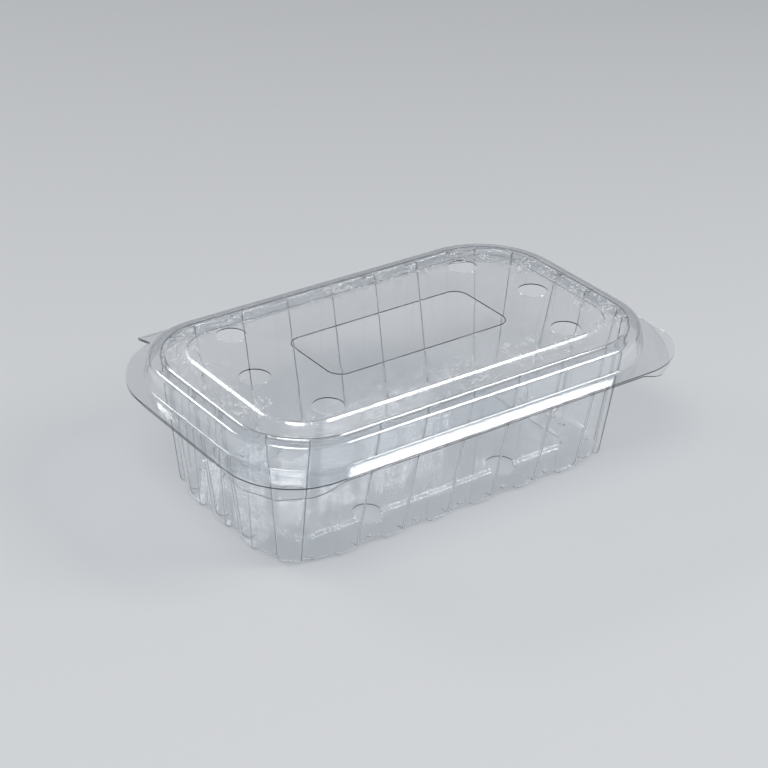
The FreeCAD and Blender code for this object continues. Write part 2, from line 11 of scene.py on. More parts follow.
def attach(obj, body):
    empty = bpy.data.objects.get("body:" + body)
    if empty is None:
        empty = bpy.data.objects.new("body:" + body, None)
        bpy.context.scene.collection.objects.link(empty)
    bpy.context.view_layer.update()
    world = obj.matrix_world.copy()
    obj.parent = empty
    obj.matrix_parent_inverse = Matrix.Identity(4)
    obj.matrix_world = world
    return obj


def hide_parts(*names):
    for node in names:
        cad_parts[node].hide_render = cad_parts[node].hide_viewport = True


bl_info = {
    "name": "Clear clamshell punnet",
    "version": (1, 0, 0),
    "blender": (4, 5, 0),
    "location": "View3D > Sidebar > Punnet",
    "description": "Builds a clear, vented, hinged punnet of thin formed sheet round its frame",
    "category": "Add Mesh",
}

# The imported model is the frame: its hinge gives the place of the fold, and every length below
# is measured in metres from the middle of the tray's foot line, which the fold places.
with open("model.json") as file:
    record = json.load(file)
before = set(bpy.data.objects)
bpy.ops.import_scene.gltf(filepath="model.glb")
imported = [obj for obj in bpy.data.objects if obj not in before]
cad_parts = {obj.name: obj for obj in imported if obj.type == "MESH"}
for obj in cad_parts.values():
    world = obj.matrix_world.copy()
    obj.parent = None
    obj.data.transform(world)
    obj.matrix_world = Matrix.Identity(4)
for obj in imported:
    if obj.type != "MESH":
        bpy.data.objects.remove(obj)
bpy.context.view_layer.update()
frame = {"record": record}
FOLD_PLACE = frame["record"]["behaviour"]["joints"][0]["pos_m"]
MM = 0.001

# How finely the forms are worked out
HOLE_SIDES = 48
PINCH_GAP = 0.06 * MM  # between the two columns at an end of the hinge strip
MERGE_REACH = 2e-6  # points nearer than this, in metres, become one
SHARP_TURN = math.radians(38)  # faces that meet at more than this keep a sharp edge

# Each lamp's name, place in metres, size in metres and power in watts
LAMPS = (
    ("front_lamp", (0.68, -0.62, 0.80), (0.30, 0.62), 6.5),
    ("top_lamp", (-0.50, -0.31, 1.03), (0.55, 0.40), 6.0),
    ("back_lamp", (-0.62, 0.92, 0.75), (0.55, 0.25), 3.6),
)
LAMP_AIM = (0.0, 0.0, 0.03)


# Sizes and colours

def length(name, millimetres, description):
    """A length property, given here in millimetres and kept in metres."""
    return FloatProperty(name=name, description=description, default=millimetres * MM,
                         precision=5, unit="LENGTH")


def slope(name, degrees, description):
    """An angle property, given here in degrees."""
    return FloatProperty(name=name, description=description, default=math.radians(degrees),
                         subtype="ANGLE")


def factor(name, value, description):
    """A property that runs from 0 to 1."""
    return FloatProperty(name=name, description=description, default=value, min=0.0, max=1.0,
                         subtype="FACTOR")


def figure(name, value, description):
    """A property without a unit."""
    return FloatProperty(name=name, description=description, default=value)


def colour(name, value, description):
    """A colour property, in linear red, green and blue."""
    return FloatVectorProperty(name=name, description=description, default=value, min=0.0,
                               max=1.0, subtype="COLOR")


class SheetSizes(bpy.types.PropertyGroup):
    """What tray and lid share."""
    gauge: length("Gauge", 0.4, "Wall of the formed sheet")
    gap: length("Gap", 0.3, "Running gap between lid and tray")
    foot_length: length("Foot length", 150.0, "Tray at the foot of its wall, along X")
    foot_width: length("Foot width", 78.0, "Tray at the foot of its wall, along Y")
    foot_corner: length("Foot corner", 18.0, "Plan radius of the foot line's corners")
    ledge_height: length("Ledge height", 0.8, "Underside of the tray's ledge above the table")
    rim_height: length("Rim height", 53.4, "Top of the tray's rim above the table")
    rim_width: length("Rim width", 5.3, "From the wall out to the rim's edge")
    rim_round: length("Rim round", 1.5, "Round on the rim's shoulder")
    wall_lean: slope("Wall lean", 7.2, "Draft of the wall")
    skirt_drop: length("Skirt drop", 8.2, "From the rim's top down to the flange")
    skirt_lean: slope("Skirt lean", 10.5, "Draft of the skirt")
    flange_width: length("Flange width", 6.9, "Flange beyond the skirt")
    ear_corner: length("Ear corner", 26.0, "Plan radius of the flange at the opening ears")
    ear_crease: length("Ear crease", 1.2, "Crease of the tray's ears beyond the skirt")
    ear_droop: slope("Ear droop", 27.0, "Downward bend of the tray's ears")
    strip_length: length("Strip length", 144.0, "Hinge strip along the back")
    fold_reach: length("Fold reach", 2.7, "Fold beyond the flange")


class TraySizes(bpy.types.PropertyGroup):
    """What only the tray has."""
    panel_inset: length("Panel inset", 13.0, "Floor panel's step inside the foot line")
    panel_lift: length("Panel lift", 1.6, "Floor panel above the ledge")
    panel_lean: slope("Panel lean", 30.0, "Slope of the panel's step from upright")
    drain_radius: length("Drain radius", 5.3, "Holes in the floor")
    drain_spread: length("Drain spread", 61.0, "Between the outer drain holes, along X")
    drain_reach: length("Drain reach", 49.0, "Between the outer drain holes, along Y")
    drain_ends: length("Drain ends", 92.0, "Between the two end drain holes, along X")
    nub_inset: length("Foot inset", 3.0, "Centre of a pressed foot inside the foot line")
    nub_pitch: length("Foot pitch", 7.0, "Between the two feet of a pair")
    nub_swing: slope("Foot swing", 27.0, "Turn from a corner's middle to its feet")
    flute_depth: length("Flute depth", 1.6, "Flutes proud of the wall")
    flute_foot: length("Flute foot", 7.6, "Width of a flute's face at the floor")
    flute_spread: slope("Flute spread", 3.9, "Widening of a flute's side with height")
    flute_flare: length("Flute flare", 0.5, "A flute's root wider than its face, each side")
    long_pitch: length("Long pitch", 20.0, "Flutes along the long walls")
    long_count: IntProperty(name="Long count", description="Flutes on each long wall", default=6)
    short_pitch: length("Short pitch", 17.0, "Flutes along the short walls")
    short_count: IntProperty(name="Short count", description="Flutes on each short wall", default=3)
    frost_share: factor("Frost share", 0.75, "Frost on the floor's step")


class LidSizes(bpy.types.PropertyGroup):
    """What only the lid has."""
    band_width: length("Band width", 4.2, "Flat band along the lid's edge")
    band_step: length("Band step", 0.5, "Step from the band up to the ledge")
    ledge_width: length("Ledge width", 8.3, "Ledge from the band to the plateau")
    plateau_step: length("Plateau step", 1.0, "Plateau above the ledge")
    vent_radius: length("Vent radius", 5.6, "Holes in the lid")
    vent_spread: length("Vent spread", 105.0, "Between the outer vents, along X")
    vent_reach: length("Vent reach", 60.6, "Between the outer vents, along Y")
    vent_ends: length("Vent ends", 124.4, "Between the two end vents, along X")
    label_length: length("Label length", 79.0, "Raised outline on the plateau, along X")
    label_width: length("Label width", 32.4, "Raised outline on the plateau, along Y")
    label_corner: length("Label corner", 6.0, "Corner radius of the raised outline")
    label_bead: length("Label bead", 0.9, "Width of the raised line")
    label_lift: length("Label lift", 0.25, "Height of the raised line")
    frost_reach: length("Frost reach", 11.0, "How far the ledge's frost fades in over the plateau")
    frost_share: factor("Frost share", 0.6, "Frost on the ledge")


class PlasticFinish(bpy.types.PropertyGroup):
    """The clear sheet."""
    tint: colour("Tint", (0.975, 0.985, 0.995), "Colour of the clear sheet")
    shade: colour("Shade", (0.88, 0.89, 0.90), "What one face lets through in the shadow")
    refraction: figure("Refraction", 1.575, "Index of refraction of the sheet")
    gloss: factor("Gloss roughness", 0.03, "Roughness of the clear faces")
    frost: factor("Frost roughness", 0.30, "Roughness where the sheet is frosted")
    grain: length("Grain", 0.85, "Spacing of the frost's specks")
    grain_relief: length("Grain relief", 0.05, "Height of the frost's specks")
    speck_cover: factor("Speck cover", 0.75, "How white a speck is")
    clouds: figure("Clouds", 120.0, "Unevenness of the frost, in clouds per metre")
    waves: figure("Waves", 55.0, "Waves of the formed sheet per metre")
    wave_relief: length("Wave relief", 0.1, "Height of those waves")
    wave_strength: factor("Wave strength", 0.2, "How much of that height shows")


class StageLook(bpy.types.PropertyGroup):
    """Floor, lamps and camera."""
    floor: colour("Floor", (0.56, 0.57, 0.58), "Colour of the floor")
    floor_reach: length("Floor reach", 3000.0, "Floor from the middle to its edge")
    floor_roughness: factor("Floor roughness", 0.75, "Roughness of the floor")
    floor_gloss: factor("Floor gloss", 0.2, "Mirror share of the floor")
    sky: colour("Sky", (0.35, 0.36, 0.38), "Light from all round")
    camera_place: FloatVectorProperty(name="Camera", description="Place of the camera",
                                      subtype="XYZ", default=(-0.4109, -0.5320, 0.4038))
    camera_bearing: slope("Bearing", -37.34, "Camera's turn about the upright, from the front")
    camera_rise: slope("Rise", 28.88, "Camera's height as an angle")
    camera_roll: slope("Roll", 2.2, "Camera's turn about its own axis")
    camera_lens: figure("Lens", 98.47, "Focal length on a 36 mm wide frame, in mm")


# Shared forms

def rounded_line(corners):
    """Points along straight runs whose corners are arcs. A corner is (along, height, radius,
    arc steps, steps of the run that follows). An arc starts a tangent length, radius times the
    tangent of half the turn, before its corner, and each of its points lies at radius times
    (sine, 1 - cosine) of the turn so far from there. A row of the result is along, height and
    the corner's number, plus how far the point is on the run after it."""
    places = np.array([corner[:2] for corner in corners], float)
    runs = np.diff(places, axis=0)
    runs /= np.linalg.norm(runs, axis=1)[:, None]
    rows = []
    for number, (_, _, radius, arc_steps, _) in enumerate(corners):
        if radius == 0.0:
            arc = places[number][None, :]
        else:
            before, after = runs[number - 1], runs[number]
            turn = math.atan2(before[0] * after[1] - before[1] * after[0], before @ after)
            side = np.array([-before[1], before[0]]) * math.copysign(1.0, turn)
            start = places[number] - before * radius * math.tan(abs(turn) / 2)
            swept = np.linspace(0.0, abs(turn), arc_steps + 1)[:, None]
            arc = start + radius * (np.sin(swept) * before + (1.0 - np.cos(swept)) * side)
        rows.append(np.column_stack([arc, np.full(len(arc), float(number))]))
    line = [rows[0]]
    for number, arc in enumerate(rows[1:]):
        steps = corners[number][4]
        share = np.linspace(0.0, 1.0, steps + 1)[1:-1, None]
        first, last = line[-1][-1, :2], arc[0, :2]
        line.append(np.column_stack([first + share * (last - first), number + share]))
        line.append(arc)
    return np.vstack(line)


def path_knots(sheet):
    """Distances along the foot line at which its straight sides and corners meet, from the
    left end of the front side, counter-clockwise seen from above."""
    long_side = sheet.foot_length - 2 * sheet.foot_corner
    short_side = sheet.foot_width - 2 * sheet.foot_corner
    corner = sheet.foot_corner * math.pi / 2
    return np.cumsum([0.0] + 2 * [long_side, corner, short_side, corner])


def path_frame(along, sheet):
    """Spine point and outward normal at a distance along the foot line. The spine is the
    rectangle of the corners' centres, and the foot line lies a corner's radius outside it. The
    normal's bearing grows by a quarter turn in each corner and rests on each side."""
    knots = path_knots(sheet)
    x = sheet.foot_length / 2 - sheet.foot_corner
    y = sheet.foot_width / 2 - sheet.foot_corner
    along = np.mod(along, knots[-1])
    bearing = np.interp(along, knots, np.radians([-90, -90, 0, 0, 90, 90, 180, 180, 270]))
    spine_x = np.interp(along, knots, [-x, x, x, x, x, -x, -x, -x, -x])
    spine_y = np.interp(along, knots, [-y, -y, -y, y, y, y, y, -y, -y])
    return spine_x, spine_y, np.cos(bearing), np.sin(bearing)


def levels_of(sheet):
    """Heights and offsets that tray and lid share. Offsets are outward from the foot line."""
    wall = math.tan(sheet.wall_lean)
    skirt = math.tan(sheet.skirt_lean)
    rim_edge = (sheet.rim_height - sheet.ledge_height) * wall + sheet.rim_width
    flange = sheet.rim_height - sheet.skirt_drop
    rise = sheet.gauge + sheet.gap
    flange_edge = rim_edge + sheet.skirt_drop * skirt + sheet.flange_width
    return {
        "wall": wall, "skirt": skirt, "rim_edge": rim_edge, "flange": flange, "rise": rise,
        "flange_x": sheet.foot_length / 2 + flange_edge,
        "flange_y": sheet.foot_width / 2 + flange_edge,
        "flange_corner": sheet.foot_corner + flange_edge,
        "fold_y": sheet.foot_width / 2 + flange_edge + sheet.fold_reach,
        "fold_z": flange + sheet.gap / 2,
        "fold_radius": sheet.gauge + sheet.gap / 2,
    }


def inset_from_foot(places, sheet):
    """How far inside the foot line a point lies: the corner's radius less the distance to the
    rectangle of the corners' centres, or the depth inside it."""
    half_x = sheet.foot_length / 2 - sheet.foot_corner
    half_y = sheet.foot_width / 2 - sheet.foot_corner
    off_x, off_y = abs(places[:, 0]) - half_x, abs(places[:, 1]) - half_y
    outside = np.hypot(np.maximum(off_x, 0), np.maximum(off_y, 0))
    return sheet.foot_corner - outside - np.minimum(np.maximum(off_x, off_y), 0)


def edge_reach(spine_x, spine_y, out_x, out_y, half_x, half_y, corner):
    """Distance from the spine to a rounded rectangle's edge along the normal: the nearer of
    its two side lines, or where that lies past a corner's centre the root of the corner
    circle's equation."""
    far, level = 1.0, 1e-9
    with np.errstate(divide="ignore", invalid="ignore"):
        to_x = np.where(abs(out_x) > level, (np.sign(out_x) * half_x - spine_x) / out_x, far)
        to_y = np.where(abs(out_y) > level, (np.sign(out_y) * half_y - spine_y) / out_y, far)
    reach = np.minimum(to_x, to_y)
    hit_x, hit_y = spine_x + out_x * reach, spine_y + out_y * reach
    centre_x, centre_y = np.sign(hit_x) * (half_x - corner), np.sign(hit_y) * (half_y - corner)
    off_x, off_y = spine_x - centre_x, spine_y - centre_y
    lean = off_x * out_x + off_y * out_y
    root = np.sqrt(np.maximum(lean ** 2 - off_x ** 2 - off_y ** 2 + corner ** 2, 0.0)) - lean
    rounded = (abs(hit_x) > half_x - corner) & (abs(hit_y) > half_y - corner)
    return np.where(rounded, root, reach)


def strip_ends(sheet, reach_y):
    """Distances along the foot line at which the normal meets the two ends of the hinge strip."""
    knots = path_knots(sheet)
    x = sheet.foot_length / 2 - sheet.foot_corner
    y = sheet.foot_width / 2 - sheet.foot_corner
    bearing = math.atan2(reach_y - y, sheet.strip_length / 2 - x)
    return [knots[3] + bearing * sheet.foot_corner,
            knots[5] + (math.pi / 2 - bearing) * sheet.foot_corner]


def pinch(along, places):
    """The columns with the two next to each place drawn to it, a small gap apart, so that an
    edge can turn square there."""
    along = along.copy()
    for place in places:
        after = int(np.searchsorted(along, place))
        along[after - 1], along[after] = place - PINCH_GAP / 2, place + PINCH_GAP / 2
    return along


def flange_reach(along, sheet, end_y):
    """Distance from the spine to the flange's edge: ears at the front corners, concentric
    corners at the back, and the hinge strip out to end_y."""
    at = levels_of(sheet)
    spine_x, spine_y, out_x, out_y = path_frame(along, sheet)
    outline = (spine_x, spine_y, out_x, out_y, at["flange_x"], at["flange_y"])
    front = edge_reach(*outline, sheet.ear_corner)
    back = edge_reach(*outline, at["flange_corner"])
    reach = np.where(out_y < 0, front, back)
    backward = out_y > 0.5
    strip = (end_y - spine_y) / np.where(backward, out_y, 1.0)
    on_strip = backward & (abs(spine_x + out_x * strip) <= sheet.strip_length / 2)
    return np.where(on_strip, strip, reach)


def grid_faces(rows, columns, closed):
    """Corner numbers of a grid's faces, turned so that rows outward and columns
    counter-clockwise give faces that look up."""
    first = np.arange(rows - 1)[:, None] * columns
    here = np.arange(columns if closed else columns - 1)[None, :]
    there = (here + 1) % columns
    return np.stack([first + here, first + columns + here, first + columns + there, first + there],
                    axis=-1).reshape(-1, 4)


def flat_sheet(edge, holes, lines):
    """A flat sheet inside an edge: the triangles that join the edge, the holes' circles and the
    lines drawn on it, less those in a hole. Holes are (x, y, radius), lie inside the edge and
    have straight sides, and a triangle is in one if its middle is on the near side of each."""
    turns = np.linspace(0.0, 2 * math.pi, HOLE_SIDES + 1)[:-1]
    circles = [np.column_stack([x + radius * np.cos(turns), y + radius * np.sin(turns)])
               for x, y, radius in holes]
    loops = [edge] + circles + lines
    points = np.vstack(loops)
    starts = np.cumsum([0] + [len(loop) for loop in loops])
    links = np.vstack([np.column_stack([start + np.arange(len(loop)),
                                        start + (np.arange(len(loop)) + 1) % len(loop)])
                       for start, loop in zip(starts, loops)])
    all_triangles, nearness = 0, 1e-8
    found = geometry.delaunay_2d_cdt([Vector(point) for point in points], links.tolist(), [],
                                     all_triangles, nearness)
    places = np.array([tuple(place) for place in found[0]])
    faces = np.array(found[2])
    corners = places[faces]
    middle = corners.mean(axis=1)
    one, two = corners[:, 1] - corners[:, 0], corners[:, 2] - corners[:, 0]
    area = one[:, 0] * two[:, 1] - one[:, 1] * two[:, 0]
    least_area = 1e-12
    keep = abs(area) > least_area
    for x, y, radius in holes:
        bearing = np.arctan2(middle[:, 1] - y, middle[:, 0] - x)
        off_chord = np.mod(bearing, 2 * math.pi / HOLE_SIDES) - math.pi / HOLE_SIDES
        reach = np.hypot(middle[:, 0] - x, middle[:, 1] - y) * np.cos(off_chord)
        keep &= reach > radius * math.cos(math.pi / HOLE_SIDES)
    if not keep.any():
        raise RuntimeError("a flat sheet came out without triangles")
    faces = np.where(area[:, None] < 0, faces[:, ::-1], faces)[keep]
    return places, faces


def six_holes(ends, spread, reach, radius):
    """Four holes at the corners of a rectangle and one beyond it at each end."""
    corners = [(way * spread / 2, other * reach / 2, radius)
               for way in (-1, 1) for other in (-1, 1)]
    return corners + [(-ends / 2, 0.0, radius), (ends / 2, 0.0, radius)]


def rounded_loop(half_x, half_y, corner, steps):
    """Points round a rounded rectangle about the origin."""
    turns = np.radians(np.linspace(0, 90, steps + 1))
    quarters = []
    for number, (x, y) in enumerate(((1, 1), (-1, 1), (-1, -1), (1, -1))):
        bearing = turns + number * math.pi / 2
        quarters.append(np.column_stack([x * (half_x - corner) + corner * np.cos(bearing),
                                         y * (half_y - corner) + corner * np.sin(bearing)]))
    return np.vstack(quarters)


def smooth(value):
    """0 below 0, 1 above 1, and three times the square less twice the cube between."""
    value = np.clip(value, 0.0, 1.0)
    return value * value * (3.0 - 2.0 * value)


def shell(name, patches, gauge, frost):
    """One closed piece of thin sheet: the patches moved to the fold's place, joined where
    their edges meet and given the gauge on the side that they don't face. frost gives the
    frosted share of each point."""
    points = np.vstack([patch[0] for patch in patches])
    starts = np.cumsum([0] + [len(patch[0]) for patch in patches])
    faces = []
    for start, (_, numbers) in zip(starts, patches):
        faces += (numbers + start).tolist()
    mesh = bpy.data.meshes.new(name)
    mesh.from_pydata(points.tolist(), [], faces)
    work = bmesh.new()
    work.from_mesh(mesh)
    bmesh.ops.remove_doubles(work, verts=work.verts, dist=MERGE_REACH)
    work.to_mesh(mesh)
    work.free()
    piece = bpy.data.objects.new(name, mesh)
    bpy.context.scene.collection.objects.link(piece)
    thicken = piece.modifiers.new("Gauge", "SOLIDIFY")
    thicken.thickness = gauge
    thicken.offset = -1.0
    thicken.use_even_offset = True
    thicken.use_quality_normals = True
    graph = bpy.context.evaluated_depsgraph_get()
    done = bpy.data.meshes.new_from_object(piece.evaluated_get(graph))
    if not done.polygons:
        raise RuntimeError(f"{name} came out without faces")
    piece.modifiers.clear()
    piece.data = done
    done.name = name
    places = np.empty(len(done.vertices) * 3)
    done.vertices.foreach_get("co", places)
    places = places.reshape(-1, 3)
    masks = done.attributes.new("frost", "FLOAT", "POINT")
    masks.data.foreach_set("value", frost(places).astype(np.float32))
    places[:, 1] += FOLD_PLACE[1] - levels_of(bpy.context.scene.punnet_sheet)["fold_y"]
    done.vertices.foreach_set("co", places.ravel())
    done.shade_smooth()
    done.set_sharp_from_angle(angle=SHARP_TURN)
    done.update()
    return piece


# The tray

def flute_centres(sheet, tray):
    """Distances along the foot line of the flutes' middles, in order, and which of them stand
    on a corner."""
    knots = path_knots(sheet)
    middles = []
    corners = []
    walls = ((tray.long_count, tray.long_pitch), (tray.short_count, tray.short_pitch))
    for side in range(4):
        count, pitch = walls[side % 2]
        middle = (knots[2 * side] + knots[2 * side + 1]) / 2
        middles += [middle + (number - (count - 1) / 2) * pitch for number in range(count)]
        middles.append((knots[2 * side + 1] + knots[2 * side + 2]) / 2)
        corners += [False] * count + [True]
    return np.array(middles), np.array(corners)


def tray_columns(sheet, tray):
    """The tray's columns from one flute to the next: the side of the flute's middle that each
    is on, how far it is past the edge of the flute's face, its share of the way to the next
    flute, and how far it stands proud of the wall. Last comes the width of a flute's flank."""
    edge_round, before, after = 0.5 * MM, 2 * MM, 3 * MM
    panel_steps = 18
    flank = rounded_line([
        (-before, tray.flute_depth, 0.0, 0, 1),
        (0.0, tray.flute_depth, edge_round, 3, 1),
        (tray.flute_flare, 0.0, edge_round, 3, 1),
        (after, 0.0, 0.0, 0, 1),
    ])[1:-1]
    beyond, proud = flank[:, 0], flank[:, 1]
    between = np.arange(1, panel_steps) / panel_steps
    ones, plain = np.ones(len(flank)), np.ones(len(between))
    side = np.concatenate([-ones, [0.0], ones, plain])
    past = np.concatenate([-beyond[::-1], [0.0], beyond, beyond[-1] * plain])
    share = np.concatenate([np.zeros(2 * len(flank) + 1), between])
    out = np.concatenate([proud[::-1], [tray.flute_depth], proud, np.zeros(len(between))])
    return side, past, share, out, beyond[-1]


def tray_along(level, sheet, tray):
    """Distance along the foot line of each column at a height. A flute's face widens with
    height, and on a corner its width is an angle at the face's radius."""
    middles, on_corner = flute_centres(sheet, tray)
    side, past, share, _, last = tray_columns(sheet, tray)
    above = level - sheet.ledge_height
    half = tray.flute_foot / 2 + above * math.tan(tray.flute_spread)
    radius = sheet.foot_corner + above * math.tan(sheet.wall_lean) + tray.flute_depth
    scale = np.where(on_corner, sheet.foot_corner / radius, 1.0)
    following = np.append(middles[1:], middles[0] + path_knots(sheet)[-1])
    here = middles[:, None] + (side * half + past)[None, :] * scale[:, None]
    there = following[:, None] - (half + last) * np.roll(scale, -1)[:, None]
    return (here * (1.0 - share) + there * share).ravel()


def tray_rows(sheet, tray):
    """The section of the tray's inner and upper face, from the floor panel out to the flange."""
    panel_edge, ledge_flat = 1.0 * MM, 5.4 * MM
    step_round, foot_round, lip_round, skirt_round = 0.7 * MM, 1.6 * MM, 0.9 * MM, 0.6 * MM
    at = levels_of(sheet)
    gauge = sheet.gauge
    ledge = sheet.ledge_height + gauge
    panel = ledge + tray.panel_lift
    skin = gauge / math.cos(tray.panel_lean) - gauge * math.tan(tray.panel_lean)
    foot = skin - tray.panel_inset
    crest = foot - tray.panel_lift * math.tan(tray.panel_lean)
    wall_skin = gauge / math.cos(sheet.wall_lean)
    heel = gauge * at["wall"] - wall_skin
    wall_top = (sheet.rim_height - sheet.ledge_height) * at["wall"] - wall_skin
    skirt_foot = at["rim_edge"] + sheet.skirt_drop * at["skirt"]
    return rounded_line([
        (crest - panel_edge, panel, 0.0, 0, 1),
        (crest, panel, step_round, 3, 1),
        (foot, ledge, step_round, 3, 2),
        (heel - ledge_flat, ledge, 0.0, 0, 10),
        (heel, ledge, foot_round, 5, 7),
        (wall_top, sheet.rim_height, lip_round, 4, 2),
        (at["rim_edge"], sheet.rim_height, sheet.rim_round, 6, 2),
        (skirt_foot, at["flange"], skirt_round, 3, 9),
        (skirt_foot + sheet.flange_width, at["flange"], 0.0, 0, 1),
    ])


# Numbers of the section's corners, in the order of tray_rows
LEDGE_CORNER, HEEL_CORNER, LIP_CORNER, SHOULDER_CORNER, FLANGE_CORNER = 3, 4, 5, 6, 7


def nub_places(sheet, tray):
    """Centres of the pressed feet: a pair between each two flutes of a side, and one on each
    side of a corner's flute."""
    middles, on_corner = flute_centres(sheet, tray)
    plain = ~on_corner & ~np.roll(on_corner, -1)
    gaps = ((middles + np.roll(middles, -1)) / 2)[plain]
    corners = middles[on_corner]
    swing = tray.nub_swing * sheet.foot_corner
    along = np.concatenate([gaps - tray.nub_pitch / 2, gaps + tray.nub_pitch / 2,
                            corners - swing, corners + swing])
    spine_x, spine_y, out_x, out_y = path_frame(along, sheet)
    reach = sheet.foot_corner - tray.nub_inset
    return spine_x + out_x * reach, spine_y + out_y * reach


def droop(x, y, z, sheet):
    """The front corners of the tray's flange bent down: past the crease the distance from it
    first follows an arc and then a straight slope."""
    diagonal, bend = math.cos(math.pi / 4), 2.0 * MM
    at = levels_of(sheet)
    spine = (sheet.foot_length / 2 + sheet.foot_width / 2) - 2 * sheet.foot_corner
    skirt_foot = sheet.foot_corner + at["rim_edge"] + sheet.skirt_drop * at["skirt"]
    line = spine * diagonal + skirt_foot + sheet.ear_crease
    past = np.maximum((abs(x) - y) * diagonal - line, 0.0)
    arc = np.minimum(past / bend, sheet.ear_droop)
    rest = past - arc * bend
    on = bend * np.sin(arc) + rest * math.cos(sheet.ear_droop)
    down = bend * (1.0 - np.cos(arc)) + rest * math.sin(sheet.ear_droop)
    shift = (on - past) * diagonal
    return x + np.sign(x) * shift, y - shift, z - down


def tray_patches(sheet, tray):
    """The tray's inner and upper face: the section carried round the foot line, its wall
    pushed out in the flutes, the drained floor and the fold. The floor's height follows the
    section's by the distance inside the foot line, so that holes may cut its step. A pressed
    foot is a smooth dip to the table, about its centre."""
    nub_edge, nub_slope = 1.8 * MM, 1.1 * MM
    at = levels_of(sheet)
    rows = tray_rows(sheet, tray)
    number = rows[:, 2]
    proud = np.clip(1.0 - (number - LIP_CORNER), 0.0, 1.0) * (number >= HEEL_CORNER)
    level = np.clip(np.where(number < LIP_CORNER, rows[:, 1], sheet.rim_height),
                    sheet.ledge_height, sheet.rim_height)
    outermost = pinch(tray_along(sheet.rim_height, sheet, tray), strip_ends(sheet, at["fold_y"]))
    along = np.array([outermost if place >= SHOULDER_CORNER else tray_along(height, sheet, tray)
                      for place, height in zip(number, level)])
    middles, _ = flute_centres(sheet, tray)
    out = np.tile(tray_columns(sheet, tray)[3], len(middles))
    spine_x, spine_y, out_x, out_y = path_frame(along, sheet)
    reach = sheet.foot_corner + rows[:, 0][:, None] + proud[:, None] * out[None, :]
    edge = flange_reach(outermost, sheet, at["fold_y"])
    share = np.clip(number - FLANGE_CORNER, 0.0, 1.0)[:, None]
    skirt_foot = reach[number <= FLANGE_CORNER][-1][None, :]
    reach = np.where(share > 0, skirt_foot + share * (edge[None, :] - skirt_foot), reach)
    x, y = spine_x + out_x * reach, spine_y + out_y * reach
    z = np.broadcast_to(rows[:, 1][:, None], x.shape).copy()
    nub_x, nub_y = nub_places(sheet, tray)
    low = number < HEEL_CORNER
    near = np.hypot(x[low][..., None] - nub_x, y[low][..., None] - nub_y).min(axis=-1)
    z[low] -= sheet.ledge_height * smooth((nub_edge - near) / nub_slope)
    bent = number > FLANGE_CORNER
    x[bent], y[bent], z[bent] = droop(x[bent], y[bent], z[bent], sheet)
    ring = np.stack([x, y, z], axis=-1)
    ledge = int(np.argmax(number >= LEDGE_CORNER))
    around = (ring[ledge:].reshape(-1, 3), grid_faces(len(rows) - ledge, len(outermost), True))
    holes = six_holes(tray.drain_ends, tray.drain_spread, tray.drain_reach, tray.drain_radius)
    step_lines = [ring[row, :, :2] for row in range(ledge)]
    flat, flat_faces = flat_sheet(ring[ledge, :, :2], holes, step_lines)
    height = np.interp(inset_from_foot(flat, sheet), -rows[ledge::-1, 0], rows[ledge::-1, 1])
    floor = (np.column_stack([flat, height]), flat_faces)
    return [around, floor, fold_patch(ring[-1], sheet)]


def fold_patch(edge, sheet):
    """The sheet turned up round the fold, from the tray's strip to just short of the lid's: a
    half circle of the fold's radius less the gauge, then a short run back."""
    nearness, steps = 1e-7, 9
    at = levels_of(sheet)
    strip = edge[abs(edge[:, 1] - at["fold_y"]) < nearness]
    if len(strip) < 2:
        raise RuntimeError("no edge of the tray's strip lies at the fold")
    inner = at["fold_radius"] - sheet.gauge
    turns = np.radians(np.linspace(-90, 90, steps))[:, None]
    y = np.vstack([at["fold_y"] + inner * np.cos(turns), [[at["fold_y"] - at["fold_radius"]]]])
    z = np.vstack([at["fold_z"] + inner * np.sin(turns), [[at["fold_z"] + inner]]])
    shape = (len(y), len(strip))
    points = np.stack([np.broadcast_to(strip[:, 0], shape), np.broadcast_to(y, shape),
                       np.broadcast_to(z, shape)], axis=-1)
    return points.reshape(-1, 3), grid_faces(*shape, False)


def tray_frost(places):
    """Frost on the tray: a bloom on the floor's step, a bell curve across it."""
    spread, floor_top = 2.6 * MM, 6 * MM
    sheet, tray = bpy.context.scene.punnet_sheet, bpy.context.scene.punnet_tray
    inside = inset_from_foot(places, sheet)
    step = np.exp(-((inside - tray.panel_inset) / spread) ** 2) * (places[:, 2] < floor_top)
    return tray.frost_share * step


# The lid

def lid_rows(sheet, lid):
    """The section of the lid's upper face, from the plateau out to the flange."""
    plateau_edge, plateau_round, step_round = 1.2 * MM, 0.9 * MM, 0.6 * MM
    ledge_round, band_round, skirt_round = 0.5 * MM, 0.45 * MM, 0.6 * MM
    at = levels_of(sheet)
    top = sheet.rim_height + at["rise"]
    ledge = top + lid.band_step
    plateau = ledge + lid.plateau_step
    flange = at["flange"] + at["rise"]
    clear = at["rise"] / math.cos(sheet.skirt_lean)
    edge = at["rim_edge"] - at["rise"] * at["skirt"] + clear
    skirt_foot = at["rim_edge"] + (sheet.rim_height - flange) * at["skirt"] + clear
    band = edge - lid.band_width
    ledge_edge = band - lid.band_step
    plateau_foot = ledge_edge - lid.ledge_width
    crest = plateau_foot - lid.plateau_step
    return rounded_line([
        (crest - plateau_edge, plateau, 0.0, 0, 1),
        (crest, plateau, plateau_round, 4, 1),
        (plateau_foot, ledge, step_round, 3, 4),
        (ledge_edge, ledge, ledge_round, 3, 1),
        (band, top, band_round, 3, 2),
        (edge, top, sheet.rim_round + at["rise"], 8, 3),
        (skirt_foot, flange, skirt_round, 4, 5),
        (skirt_foot + sheet.flange_width, flange, 0.0, 0, 1),
    ])


# Number of the corner between the lid's skirt and flange, in the order of lid_rows
LID_FLANGE_CORNER = 6


